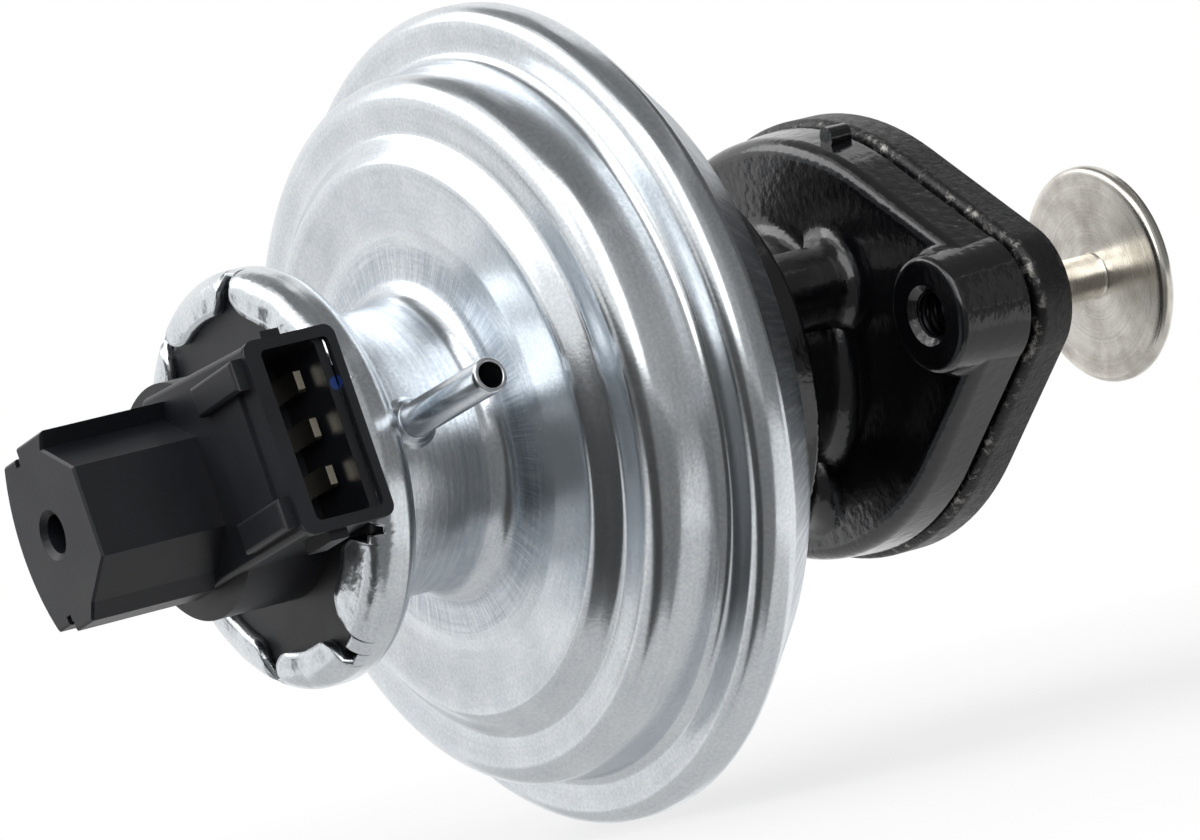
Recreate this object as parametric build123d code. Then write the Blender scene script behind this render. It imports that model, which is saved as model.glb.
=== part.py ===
from build123d import *
import math
import os

# Vacuum EGR valve with a stem position sensor.
# Millimetres. The origin is the centre of the flange's mounting face, +X runs along the stem towards
# the valve plate, the flange's two ears lie along Y, and +Z is up.

# Mounting flange: a rhombus with rounded ears and flat crowns
bolt_spacing = 62.4
ear_radius = 7.5
crown_radius = 35.0
crown_height = 24.0
base_plate_thickness = 4.2
base_plate_edge_radius = 1.0
gasket_thickness = 0.8
gasket_inset = 1.9
body_thickness = 5.2
body_inset = 0.7
body_draft = 0.5
body_edge_radius = 1.8
bolt_clearance_radius = 3.3
bolt_core_radius = 2.5
boss_radius = 6.1
boss_proud = 0.15
boss_height = 3.0
boss_edge_radius = 0.8
boss_foot_radius = 0.8
boss_chamfer = 0.7
nub_radius = 1.1
nub_length = 2.6
nub_offset = 13.7
nub_rise = 0.4

# Neck between the flange and the actuator
neck_radius = 12.4
neck_length = 11.3
neck_fillet = 2.5
pad_radius = 22.0
pad_thickness = 3.5
pad_edge_radius = 0.8
column_radius = 4.4
column_circle = 13.6
column_count = 3
column_clock = 25.0
spigot_radius = 8.0
spigot_length = 4.0
spigot_edge_radius = 0.4

# Cover screws and the insulating washer under the actuator
screw_radius = 2.0
screw_thread_clearance = 0.05
screw_grip = 9.0
screw_head_radius = 3.5
screw_head_height = 2.4
screw_socket_radius = 1.5
screw_socket_depth = 1.4
screw_head_edge = 0.4
spacer_thickness = 1.5

# Stem, valve plate and the parts that guide them
stem_radius = 2.5
stem_clearance = 0.04
valve_plate_radius = 12.13
valve_plate_thickness = 1.8
valve_plate_reach = 34.3
valve_plate_edge = 0.7
weld_radius = 3.4
weld_length = 1.2
bush_radius = 5.0
bush_recess = 3.2
recess_radius = 7.0
seal_thickness = 2.2
lift = 8.0

# Diaphragm and its plates, which rest just clear of the cover screws' heads
piston_gap = 0.3
washer_radius = 22.0
washer_thickness = 1.0
washer_edge_radius = 0.5
diaphragm_thickness = 0.6
diaphragm_hole_gap = 0.3
bead_inset = 3.3
bead_thickness = 1.3
bead_width = 2.4
bead_edge_radius = 0.3
fold_gap = 1.4
fold_inner_radius = 26.8
fold_bend = 1.4
piston_radius = 26.0
piston_height = 5.0
piston_thickness = 1.2
piston_bend = 2.0
stem_thread_radius = 2.0
nut_radius = 3.8
nut_height = 3.0
stem_tail = 1.7
stem_tail_chamfer = 0.4

# Pressed front cover, outer surface
sheet = 1.2
tab_face = 77.0
tab_inner_radius = 17.6
cup_radius = 21.8
cup_depth = 6.0
tab_bend = 2.4
cup_bend = 2.2
cup_root_bend = 1.6
tab_slot_width = 1.8
tab_slot_depth = 2.4
tab_slot_clocks = (24, 82, 126, 168, 210, 251, 297, 338)
tube_radius = 15.0
tube_bend = 3.2
dome_root = 56.4
dome_step_radius = 22.35
dome_step = 55.6
dome_step_bend = 3.0
dome_crest_radius = 29.2
dome_crest = 55.9
dome_crest_bend = 1.5
dome_slope_radius = 31.7
dome_slope = 53.6
dome_slope_bend = 1.3
dome_edge_radius = 3.0
rim_face = 45.4
rim_fillet = 1.3
rim_radius = 43.5
rim_width = 6.1
dome_draft = 0.6
rim_edge_radius = 2.0
rim_back = 41.4
rim_back_radius = 1.5
crimp_end = 34.6
crimp_draw = 6.4

# Rear cover
rear_wall_end_radius = 23.6
rear_bend = 2.5
rear_shoulder = 0.6
rear_shoulder_bend = 2.0
rear_flange_gap = 0.5

# Vacuum nipple
nipple_station = 66.4
nipple_clock = 8.5
nipple_radius = 1.85
nipple_bore_radius = 1.35
nipple_reach = 32.3
nipple_edge = 0.15
braze_radius = 3.1
braze_height = 1.5
braze_tip = 0.45
braze_foot = 0.6

# Position sensor, clocked about the stem axis. Its connector opens along its own m direction.
sensor_clock = 9.5
sensor_end = 100.9
nose_end_edge = 0.5
nose_flat = 8.4
nose_flat_half = 4.7
nose_back = 7.5
nose_shoulder_m = 5.4
nose_shoulder_w = 8.8
nose_crown_w = 9.7
nose_crown_back = 1.8
nose_bevel_m = 3.4
nose_bevel_w = 8.1
nose_crown_top_m = 4.5
nose_crown_bottom_m = 2.1
nose_notch = 0.9
end_hole_radius = 2.0
end_hole_depth = 5.0
end_hole_chamfer = 0.6
slab_face = 86.6
slab_back_m = 3.9
slab_foot_w = 9.4
slab_corner = 4.5
slab_cut_w = 7.2
slab_shoulder_m = 0.3
slab_shoulder_w = 11.2
slab_shoulder_corner = 1.0
slab_edge = 0.6
tab_clearance = 0.2
mouth_reach = 22.8
mouth_half_width = 10.1
mouth_corner = 1.2
mouth_lip = 0.3
mouth_rim_length = 0.8
mouth_rear = 76.0
mouth_rear_wall = 1.0
socket_wall = 1.2
socket_front_wall = 1.75
socket_rear_wall = 1.0
socket_depth = 10.0
lug_length = 9.2
lug_width = 3.2
lug_height = 1.4
lug_inset = 1.3
lug_setback = 1.0
lug_edge = 0.4
band_height = 0.4
band_setback = 3.2
side_rib = 0.9
side_rib_inset = 3.0
side_rib_width = 2.2
side_rib_length = 5.0
boss_front = 85.4
sensor_boss_radius = 12.3
sensor_flange_radius = 20.4
sensor_flange_edge = 1.3
sensor_spigot_clearance = 0.4
sensor_spigot_length = 3.2
seal_groove_radius = 18.8
seal_groove_width = 2.0
seal_groove_depth = 1.6
seal_squeeze = 0.02

# Sensor inner parts
chamber_half_width = 4.6
chamber_back = 5.6
chamber_top = 7.0
guide_plate_radius = 8.0
guide_plate_thickness = 2.2
guide_tube_radius = 5.2
guide_tube_length = 8.0
plunger_radius = 2.4
plunger_tip_radius = 0.5
plunger_gap = 0.1
carrier_length = 6.0
carrier_half_width = 4.2
carrier_back = 4.4
carrier_top = 4.6
carrier_rest_gap = 0.6
carrier_edge_radius = 0.6
board_thickness = 1.0
board_half_width = 4.4
board_end_gap = 1.5
wiper_width = 1.4
wiper_thickness = 0.35
wiper_spacing = 4.0
wiper_length = 4.6
wiper_board_gap = 0.2
terminal_steps = (-1, 0, 1)
terminal_pitch = 5.0
terminal_offset = 0.9
terminal_station = 79.3
terminal_width = 2.4
terminal_thickness = 0.8
terminal_reach = 18.8
terminal_taper = 0.25
terminal_root_pitch = 3.4
terminal_root_height = 1.0

# Coil springs
return_wire = 2.2
return_turns = 4.5
return_coil_radius = 19.0
sensor_wire = 0.5
sensor_turns = 7.0
sensor_coil_radius = 2.9
sensor_spring_room = 5.2
spring_play = 0.05

# Radii that follow from the rim and from the neck of the cover
dome_radius = rim_radius - rim_width
rim_inner_radius = dome_radius + dome_draft
crimp_end_radius = rim_radius - crimp_draw
bead_radius = rim_radius - bead_inset
bead_inner_radius = bead_radius - bead_thickness
fold_outer_radius = bead_inner_radius - fold_gap
sensor_spigot_radius = tube_radius - sheet - sensor_spigot_clearance

# Stations along the stem axis that follow from the sizes above
gasket_face = -base_plate_thickness
body_back = gasket_face - gasket_thickness
body_front = body_back - body_thickness
pad_back = body_front - neck_length
pad_front = pad_back - pad_thickness
spacer_front = pad_front - spacer_thickness
rear_inner = spacer_front - sheet
spigot_end = pad_front - spigot_length
washer_back = rear_inner - screw_head_height - piston_gap
washer_front = washer_back - washer_thickness
piston_back = washer_front - diaphragm_thickness
piston_front = piston_back - piston_thickness
nut_front = piston_front - nut_height
stem_end = nut_front - stem_tail
cup_floor = -(tab_face - cup_depth)
flange_front = -(tab_face - sheet)
flange_back = cup_floor - sheet
slab_rear = -(tab_face + tab_clearance)
chamber_rear = flange_back
guide_front = chamber_rear - guide_plate_thickness
carrier_back_x = guide_front - carrier_rest_gap
carrier_front_x = carrier_back_x - carrier_length
chamber_front = carrier_front_x - lift - sensor_spring_room
bead_front = -(rim_face - sheet)


def ring(x_from, x_to, outer, inner=0.0):
    """A disc or ring about the stem axis between two stations."""
    low = min(x_from, x_to)
    section = Circle(outer)
    if inner:
        section -= Circle(inner)
    return extrude(Plane.YZ.offset(low) * section, abs(x_to - x_from))


def turned(points, radii):
    """A body of revolution from a closed outline of (station, radius) corners."""
    outline = FilletPolyline(*points, radius=radii, close=True)
    return revolve(make_face(outline.edges()), Axis.X)


def pressed(points, radii, thickness):
    """Sheet metal turned about the stem axis; the points lie on its outer surface."""
    line = FilletPolyline(*points, radius=radii)
    section = line.wire().offset_2d(thickness, side=Side.RIGHT, closed=True)
    return revolve(make_face(section.edges()), Axis.X)


def block(x_from, x_to, m_from, m_to, w_from, w_to):
    """A box in the sensor's own directions: m is towards the connector mouth (-Y), w is +Z."""
    box = Box(abs(x_to - x_from), m_to - m_from, w_to - w_from)
    return Pos((x_from + x_to) / 2, -(m_from + m_to) / 2, (w_from + w_to) / 2) * box


def clocked(shape, angle=None):
    """Turn a shape from the -Y direction up towards +Z about the stem axis."""
    return Rot(X=-(sensor_clock if angle is None else angle)) * shape


def at_clock(radius, angle, station=0.0):
    """Place at a radius from the stem axis, an angle up from -Y."""
    turn = math.radians(angle)
    return Pos(station, -radius * math.cos(turn), radius * math.sin(turn))


def coil(x_from, x_to, radius, wire, turns):
    """A coil spring along X whose end turns just touch the two stations."""
    length = abs(x_to - x_from) - wire - 2 * spring_play
    path = Helix(pitch=length / turns, height=length, radius=radius)
    start = Plane(origin=path @ 0, z_dir=path % 0)
    spring = sweep(start * Circle(wire / 2), path=path)
    low = min(x_from, x_to) + wire / 2 + spring_play
    return Pos(low, 0, 0) * Rot(Y=90) * spring


def diamond(inset):
    """The flange outline drawn inwards by an inset: a rhombus with rounded corners."""
    ear = bolt_spacing / 2
    crown = crown_radius - crown_height
    slope = math.asin((crown_radius - ear_radius) / math.hypot(ear, crown)) - math.atan2(crown, ear)
    reach = ear * math.sin(slope) + ear_radius - inset
    half_length = reach / math.sin(slope)
    half_height = reach / math.cos(slope)
    outline = Polygon((half_length, 0), (0, half_height), (-half_length, 0), (0, -half_height), align=None)
    ends = outline.vertices().group_by(lambda v: round(abs(v.Y), 3))
    rounded = fillet(ends[0], ear_radius - inset)
    crowns = rounded.vertices().sort_by(Axis.Y)
    return fillet([crowns[0], crowns[-1]], crown_radius - inset)


def bolt_places():
    return [Pos(0, side * bolt_spacing / 2, 0) for side in (-1, 1)]


def column_angles():
    return [column_clock + turn * 360 / column_count for turn in range(column_count)]


def base_plate():
    """Plate that meets the engine; the edge on the gasket's side is rounded."""
    plate = extrude(Plane.YZ.offset(gasket_face) * diamond(0), base_plate_thickness)
    rims = plate.edges().filter_by(lambda e: abs(e.center().X - gasket_face) < 0.01)
    plate = fillet(rims, base_plate_edge_radius)
    for place in bolt_places():
        plate -= place * ring(gasket_face, 0, bolt_clearance_radius)
    return plate - ring(gasket_face, 0, recess_radius)


def base_gasket():
    """Thin gasket set in from the edge, which leaves the groove round the flange."""
    gasket = extrude(Plane.YZ.offset(body_back) * diamond(gasket_inset), gasket_thickness)
    for place in bolt_places():
        gasket -= place * ring(body_back, gasket_face, bolt_clearance_radius)
    return gasket - ring(body_back, gasket_face, recess_radius)


def valve_body():
    """Cast body: drafted diamond, two tapped bosses, neck, screw columns, pad and spigot."""
    rear = Plane.YZ.offset(body_back) * diamond(body_inset)
    front = Plane.YZ.offset(body_front) * diamond(body_inset + body_draft)
    body = loft([rear, front])
    body = fillet(body.faces().sort_by(Axis.X)[0].edges(), body_edge_radius)
    boss_front_x = body_front - boss_height
    for place in bolt_places():
        body += place * drafted_boss(boss_front_x)
    body = fillet(body.edges().filter_by(lambda e: is_boss_foot(e)), boss_foot_radius)
    stem_side = turned(
        [
            (spigot_end, bush_radius),
            (spigot_end, spigot_radius),
            (pad_front, spigot_radius),
            (pad_front, pad_radius),
            (pad_back, pad_radius),
            (pad_back, neck_radius),
            (body_front, neck_radius),
            (body_front, neck_radius + neck_fillet),
            (body_back, neck_radius + neck_fillet),
            (body_back, bush_radius),
        ],
        [0, spigot_edge_radius, 0, pad_edge_radius, pad_edge_radius, neck_fillet, 0, 0, 0, 0],
    )
    for angle in column_angles():
        body += at_clock(column_circle, angle) * ring(pad_front, body_front, column_radius)
    body += stem_side
    feet = body.edges().filter_by(lambda e: is_neck_foot(e))
    body = fillet(feet, neck_fillet)
    nub_circle = crown_radius - body_inset + nub_rise
    nub_height = crown_height - crown_radius + math.sqrt(nub_circle ** 2 - nub_offset ** 2)
    body += Pos(body_back - nub_length, -nub_offset, nub_height) * ring(0, nub_length, nub_radius)
    for place in bolt_places():
        body -= place * ring(boss_front_x, body_back, bolt_core_radius)
        body -= place * Pos(boss_front_x, 0, 0) * entry_cone(bolt_core_radius, boss_chamfer)
    for angle in column_angles():
        body -= at_clock(column_circle, angle) * ring(pad_front, pad_front + screw_grip, screw_radius)
    return body - ring(spigot_end, body_back, bush_radius)


def drafted_boss(boss_front_x):
    """Boss for a flange screw; its side carries on the draft of the ear's side."""
    return turned(
        [
            (boss_front_x, 0),
            (boss_front_x, boss_radius),
            (body_back, ear_radius - body_inset + boss_proud),
            (body_back, 0),
        ],
        [0, boss_edge_radius, 0, 0],
    )


def is_boss_foot(edge):
    """Arcs where the bosses stand on the casting's front face."""
    middle = edge @ 0.5
    off_axis = math.hypot(abs(middle.Y) - bolt_spacing / 2, middle.Z)
    return abs(middle.X - body_front) < 0.01 and boss_radius < off_axis < ear_radius


def is_neck_foot(edge):
    """Edges where the neck and its columns stand on the casting's front face."""
    middle = edge @ 0.5
    off_axis = math.hypot(middle.Y, middle.Z)
    on_face = abs(middle.X - body_front) < 0.01
    return on_face and neck_radius - 0.1 < off_axis < column_circle + column_radius + 0.1


def entry_cone(radius, chamfer_size):
    """A 45 degree countersink that opens towards -X."""
    return turned([(0, 0), (0, radius + chamfer_size), (radius + chamfer_size, 0)], [0, 0, 0])


def guide_bush():
    """Sintered bush pressed in the body; the stem slides in it."""
    return ring(spigot_end, -bush_recess, bush_radius, stem_radius + stem_clearance)


def stem_seal():
    """Scraper ring that lies in the base plate's recess round the stem."""
    return ring(-bush_recess, -bush_recess + seal_thickness, recess_radius, stem_radius + stem_clearance)


def spacer():
    """Heat insulating washer between the casting's pad and the rear cover."""
    washer = ring(spacer_front, pad_front, pad_radius - pad_edge_radius, spigot_radius)
    for angle in column_angles():
        washer -= at_clock(column_circle, angle) * ring(spacer_front, pad_front, screw_radius)
    return washer


def cover_screw(angle):
    """Socket head screw that holds the rear cover on the casting's columns."""
    shank_end = pad_front + screw_grip - screw_thread_clearance
    shank = ring(rear_inner, shank_end, screw_radius - screw_thread_clearance)
    head = ring(rear_inner - screw_head_height, rear_inner, screw_head_radius)
    head = fillet(head.faces().sort_by(Axis.X)[0].edges(), screw_head_edge)
    socket = Plane.YZ.offset(rear_inner - screw_head_height) * RegularPolygon(screw_socket_radius, 6)
    head -= extrude(socket, screw_socket_depth)
    return at_clock(column_circle, angle) * (shank + head)


def front_cover():
    """Pressed and plated front cover: crimped cup, tube, stepped dome and rolled rim."""
    points = [
        (-tab_face, tab_inner_radius),
        (-tab_face, cup_radius),
        (cup_floor, cup_radius),
        (cup_floor, tube_radius),
        (-dome_root, tube_radius),
        (-dome_step, dome_step_radius),
        (-dome_crest, dome_crest_radius),
        (-dome_slope, dome_slope_radius),
        (-dome_slope, dome_radius),
        (-rim_face, rim_inner_radius),
        (-rim_face, rim_radius),
        (-rim_back, rim_radius),
        (-crimp_end, crimp_end_radius),
    ]
    radii = [
        tab_bend,
        cup_bend,
        cup_root_bend,
        tube_bend,
        dome_step_bend,
        dome_crest_bend,
        dome_slope_bend,
        dome_edge_radius,
        rim_fillet,
        rim_edge_radius,
        rim_back_radius,
    ]
    cover = pressed(points, radii, sheet)
    half = tab_slot_width / 2
    for clock in tab_slot_clocks:
        slot = block(-tab_face, -tab_face + tab_slot_depth, 0, cup_radius - sheet, -half, half)
        cover -= clocked(slot, clock)
    return cover - nipple_axis() * Cylinder(nipple_radius, 4 * sheet)


def nipple_axis():
    """Plane whose Z runs outwards along the nipple, from the tube's outer surface."""
    turn = math.radians(nipple_clock)
    outwards = Vector(0, -math.cos(turn), math.sin(turn))
    foot = Vector(-nipple_station, 0, 0) + outwards * tube_radius
    return Plane(origin=foot, x_dir=(1, 0, 0), z_dir=outwards)


def vacuum_nipple():
    """Drawn steel tube that enters the neck of the cover."""
    inside = tube_radius - math.sqrt((tube_radius - sheet) ** 2 - nipple_radius ** 2)
    length = nipple_reach - tube_radius + inside
    tube = Cylinder(nipple_radius, length, align=(Align.CENTER, Align.CENTER, Align.MIN))
    tube -= Cylinder(nipple_bore_radius, length, align=(Align.CENTER, Align.CENTER, Align.MIN))
    tube = fillet(tube.faces().sort_by(Axis.Z)[-1].edges(), nipple_edge)
    return nipple_axis() * Pos(0, 0, -inside) * tube


def nipple_braze(cover):
    """Braze fillet that seals the nipple to the cover."""
    section = Polyline(
        (nipple_radius, -braze_foot),
        (braze_radius, -braze_foot),
        (braze_radius, 0),
        (nipple_radius + braze_tip, braze_height),
        (nipple_radius, braze_height),
        close=True,
    )
    bead = nipple_axis() * revolve(Plane.XZ * make_face(section.edges()), Axis.Z)
    inside = ring(-nipple_station - 2 * braze_radius, -nipple_station + 2 * braze_radius, tube_radius)
    return bead - inside - cover


def crimp_direction():
    """Unit vector down the crimped skirt in (station, radius)."""
    run = Vector(rim_back - crimp_end, crimp_end_radius - rim_radius)
    return run.normalized()


def rear_cover():
    """Pressed rear cover; its flange nests under the front cover's crimped skirt."""
    along = crimp_direction()
    inwards = Vector(along.Y, -along.X)
    under_crimp = Vector(-crimp_end, crimp_end_radius) + inwards * sheet
    to_rim = (-under_crimp.X + bead_front + rear_flange_gap + bead_width) / along.X
    flange_end = under_crimp + along * to_rim
    shoulder = under_crimp + along * rear_shoulder
    points = [
        (flange_end.X, flange_end.Y),
        (shoulder.X, shoulder.Y),
        (spacer_front, rear_wall_end_radius),
        (spacer_front, spigot_radius),
    ]
    cover = pressed(points, [rear_shoulder_bend, rear_bend], sheet)
    for angle in column_angles():
        cover -= at_clock(column_circle, angle) * ring(rear_inner, spacer_front, screw_radius)
    return cover


def diaphragm():
    """Rolling rubber diaphragm, clamped at its bead and between the plates at its centre."""
    bead_back = bead_front + bead_width
    hole = stem_thread_radius + diaphragm_hole_gap
    lip = bead_back - diaphragm_thickness
    return turned(
        [
            (bead_front, bead_radius),
            (bead_back, bead_radius),
            (bead_back, fold_outer_radius),
            (washer_front, fold_inner_radius),
            (washer_front, hole),
            (piston_back, hole),
            (piston_back, fold_inner_radius - diaphragm_thickness),
            (lip, fold_outer_radius - diaphragm_thickness),
            (lip, bead_inner_radius),
            (bead_front, bead_inner_radius),
        ],
        [
            bead_edge_radius,
            bead_edge_radius,
            fold_bend - diaphragm_thickness,
            fold_bend,
            0,
            0,
            fold_bend - diaphragm_thickness,
            fold_bend,
            0,
            bead_edge_radius,
        ],
    )


def diaphragm_washer():
    """Steel washer on the casting side of the diaphragm."""
    return turned(
        [
            (washer_front, stem_thread_radius),
            (washer_front, washer_radius),
            (washer_back, washer_radius),
            (washer_back, stem_thread_radius),
        ],
        [0, 0, washer_edge_radius, 0],
    )


def diaphragm_plate():
    """Dished piston plate that seats the return spring and backs the diaphragm."""
    points = [
        (piston_front - piston_height, piston_radius),
        (piston_back, piston_radius),
        (piston_back, stem_thread_radius),
    ]
    return pressed(points, [piston_bend], piston_thickness)


def stem():
    """Valve stem, stepped and threaded where it carries the diaphragm plates."""
    rod = ring(washer_back, valve_plate_reach - valve_plate_thickness, stem_radius)
    tail = ring(stem_end, washer_back, stem_thread_radius)
    tail = chamfer(tail.faces().sort_by(Axis.X)[0].edges(), stem_tail_chamfer)
    weld = turned(
        [
            (valve_plate_reach - valve_plate_thickness - weld_length, 0),
            (valve_plate_reach - valve_plate_thickness - weld_length, stem_radius),
            (valve_plate_reach - valve_plate_thickness, weld_radius),
            (valve_plate_reach - valve_plate_thickness, 0),
        ],
        [0, 0, 0, 0],
    )
    return rod + tail + weld


def stem_nut():
    """Hexagon nut that clamps the plates to the stem."""
    nut = extrude(Plane.YZ.offset(nut_front) * RegularPolygon(nut_radius, 6), nut_height)
    return nut - ring(nut_front, piston_front, stem_thread_radius)


def valve_plate():
    """Round valve disc at the end of the stem, with a rounded rim."""
    plate = ring(valve_plate_reach - valve_plate_thickness, valve_plate_reach, valve_plate_radius)
    return fillet(plate.edges(), valve_plate_edge)


def return_spring():
    """Coil spring between the dome and the piston plate; it holds the valve on its seat."""
    return coil(-dome_step + sheet, piston_front, return_coil_radius, return_wire, return_turns)


def nose_outline():
    """End view of the sensor's nose in (m, w): flat connector side, bowed back, two crowns."""
    upper = [
        (-nose_shoulder_m, nose_shoulder_w),
        (-nose_crown_back, nose_shoulder_w),
        (-nose_crown_back, nose_crown_w),
        (nose_crown_top_m, nose_crown_w),
        (nose_bevel_m, nose_bevel_w),
        (nose_flat, nose_flat_half),
    ]
    lower = [
        (nose_flat, -nose_flat_half),
        (nose_bevel_m, -nose_bevel_w),
        (nose_crown_bottom_m, -nose_crown_w),
        (-nose_crown_back, -nose_crown_w),
        (-nose_crown_back, -nose_shoulder_w),
        (-nose_shoulder_m, -nose_shoulder_w),
    ]
    sides = Polyline(*upper, *lower)
    back = ThreePointArc(lower[-1], (-nose_back, 0), upper[0])
    return make_face(sides.edges() + [back])


def sensor_plane(station):
    """Sketch plane across the stem axis whose x is m and whose y is w, facing -X."""
    return Plane(origin=(station, 0, 0), x_dir=(0, -1, 0), z_dir=(-1, 0, 0))


def sensor_nose():
    """The long end of the housing, with two small notches beside its crowns."""
    nose = extrude(sensor_plane(-slab_face) * nose_outline(), sensor_end - slab_face)
    nose = chamfer(nose.faces().sort_by(Axis.X)[0].edges(), nose_end_edge / 2)
    for side in (-1, 1):
        low, high = sorted([side * (nose_shoulder_w - nose_notch), side * (nose_shoulder_w + 0.1)])
        nose -= block(
            -sensor_end, -slab_face, -nose_crown_back - nose_notch, -nose_crown_back, low, high
        )
    return nose


def slab_outline():
    """End view of the connector's body in (m, w): cut shoulder, rounded foot, slightly drafted sides."""
    side_end = mouth_half_width - mouth_lip
    outline = Polygon(
        (mouth_reach, side_end),
        (slab_shoulder_m, slab_shoulder_w),
        (-slab_back_m, slab_cut_w),
        (-slab_back_m, -slab_foot_w),
        (mouth_reach, -side_end),
        align=None,
    )
    corners = outline.vertices().sort_by(Axis.X)
    foot = corners[:2].sort_by(Axis.Y)[0]
    outline = fillet([foot], slab_corner)
    shoulder = outline.vertices().sort_by(Axis.Y)[-1]
    return fillet([shoulder], slab_shoulder_corner)


def connector_shell():
    """Slab that carries the three-way socket, with its mouth's rim and its two locking lugs."""
    slab = extrude(sensor_plane(slab_rear) * slab_outline(), slab_face + slab_rear)
    slab = fillet(slab.faces().sort_by(Axis.X)[0].edges(), slab_edge)
    half = mouth_half_width
    rim = block(-slab_face, -mouth_rear, mouth_reach - mouth_rim_length, mouth_reach, -half, half)
    slab += fillet(rim.edges().filter_by(Axis.Y), mouth_corner)
    lug_end = mouth_reach - lug_setback
    band = half - lug_inset - lug_width
    for side in (-1, 1):
        lug_edges = sorted([side * band, side * (band + lug_width)])
        lug = block(-slab_face - lug_height, -slab_face, lug_end - lug_length, lug_end, *lug_edges)
        slab += fillet(lug.faces().sort_by(Axis.X)[0].edges(), lug_edge)
        rib_ends = sorted([side * (half - socket_wall), side * (half + side_rib)])
        rib_front = -slab_face + side_rib_inset
        rib_start = lug_end - side_rib_length
        slab += block(rib_front, rib_front + side_rib_width, rib_start, lug_end, *rib_ends)
    band_end = mouth_reach - band_setback
    slab += block(-slab_face - band_height, -slab_face, lug_end - lug_length, band_end, -band, band)
    return slab


def socket_space():
    """The connector's cavity, open at the mouth, where it widens towards the cup's lip."""
    front = -slab_face + socket_front_wall
    half = mouth_half_width - socket_wall
    cavity = block(
        front, slab_rear - socket_rear_wall, mouth_reach - socket_depth, mouth_reach, -half, half
    )
    cavity = fillet(cavity.edges().filter_by(Axis.Y), mouth_corner / 2)
    mouth_start = mouth_reach - mouth_rim_length
    mouth = block(front, -mouth_rear - mouth_rear_wall, mouth_start, mouth_reach, -half, half)
    return cavity + fillet(mouth.edges().filter_by(Axis.Y), mouth_corner / 2)


def sensor_chamber():
    """Inner space of the housing: the wiper's chamber and the seat of the guide plate."""
    half = chamber_half_width
    chamber = block(chamber_front, chamber_rear, -chamber_back, chamber_top, -half, half)
    return chamber + ring(guide_front, chamber_rear + sensor_spigot_length, guide_plate_radius)


def sensor_housing():
    """Moulded housing: nose, connector, boss, crimped flange, seal groove and spigot."""
    housing = sensor_nose() + connector_shell()
    housing += ring(-boss_front, flange_front, sensor_boss_radius)
    flange = ring(flange_front, flange_back, sensor_flange_radius)
    flange = fillet(flange.edges(), sensor_flange_edge)
    groove_floor = flange_back - seal_groove_depth
    flange -= ring(groove_floor, flange_back, seal_groove_radius, seal_groove_radius - seal_groove_width)
    housing += flange
    housing += ring(flange_back, flange_back + sensor_spigot_length, sensor_spigot_radius)
    housing -= sensor_chamber()
    housing -= socket_space()
    housing -= ring(-sensor_end, -sensor_end + end_hole_depth, end_hole_radius)
    housing -= Pos(-sensor_end, 0, 0) * entry_cone(end_hole_radius, end_hole_chamfer)
    for step in terminal_steps:
        housing -= terminal_blade(step, mouth_reach - socket_depth)
    return clocked(housing)


def terminal_blade(step, reach):
    """Flat blade that runs out into the socket from a root cranked in onto the track board."""
    front = -terminal_station - terminal_thickness / 2
    back = front + terminal_thickness
    half = terminal_width / 2
    w = terminal_offset + step * terminal_pitch
    root_ends = sorted([w, step * terminal_root_pitch])
    root_top = chamber_top + terminal_root_height
    root = block(front, back, chamber_top, root_top, root_ends[0] - half, root_ends[1] + half)
    return root + block(front, back, chamber_top, reach, w - half, w + half)


def terminal(step):
    """Plated contact blade with a tapered tip."""
    blade = terminal_blade(step, terminal_reach)
    tip = blade.faces().sort_by(Axis.Y)[0]
    return clocked(chamfer(tip.edges().filter_by(Axis.X), terminal_taper))


def track_board():
    """Resistive track board on the connector side of the chamber."""
    low = chamber_top - board_thickness
    front = chamber_front + board_end_gap
    back = guide_front - board_end_gap
    return clocked(block(front, back, low, chamber_top, -board_half_width, board_half_width))


def sensor_guide():
    """Bush plate that closes the chamber and guides the plunger."""
    plate = ring(guide_front, chamber_rear, guide_plate_radius)
    tube = ring(chamber_rear, chamber_rear + guide_tube_length, guide_tube_radius)
    bore = ring(guide_front, chamber_rear + guide_tube_length, plunger_radius + stem_clearance)
    return plate + tube - bore


def sensor_plunger():
    """Push rod that follows the end of the stem."""
    rod = ring(carrier_back_x, stem_end - plunger_gap, plunger_radius)
    return fillet(rod.faces().sort_by(Axis.X)[-1].edges(), plunger_tip_radius)


def wiper_carrier():
    """Moulded slide that carries the contact springs along the track board."""
    half = carrier_half_width
    body = block(carrier_front_x, carrier_back_x, -carrier_back, carrier_top, -half, half)
    return clocked(fillet(body.edges().filter_by(Axis.X), carrier_edge_radius))


def wiper_contact(side):
    """Bent contact spring that stands on the carrier and bows up to the board."""
    rise = chamber_top - board_thickness - wiper_board_gap
    foot = carrier_top
    middle = (carrier_front_x + carrier_back_x) / 2
    half = wiper_length / 2
    strip = [(middle - half, foot), (middle - half / 2, foot), (middle, rise - wiper_thickness)]
    strip += [(middle + half / 2, foot), (middle + half, foot)]
    upper = [(x, m + wiper_thickness) for x, m in reversed(strip)]
    section = Polyline(*[(x, -m) for x, m in strip + upper], close=True)
    blade = extrude(make_face(section.edges()), wiper_width / 2, both=True)
    return clocked(Pos(0, 0, side * wiper_spacing / 2) * blade)


def sensor_spring():
    """Light coil spring that keeps the plunger on the stem."""
    return coil(chamber_front, carrier_front_x, sensor_coil_radius, sensor_wire, sensor_turns)


def sensor_seal():
    """Square-cut rubber ring between the sensor's flange and the cup."""
    return ring(
        flange_back - seal_groove_depth + seal_squeeze,
        flange_back,
        seal_groove_radius - seal_squeeze,
        seal_groove_radius - seal_groove_width + seal_squeeze,
    )


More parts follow.
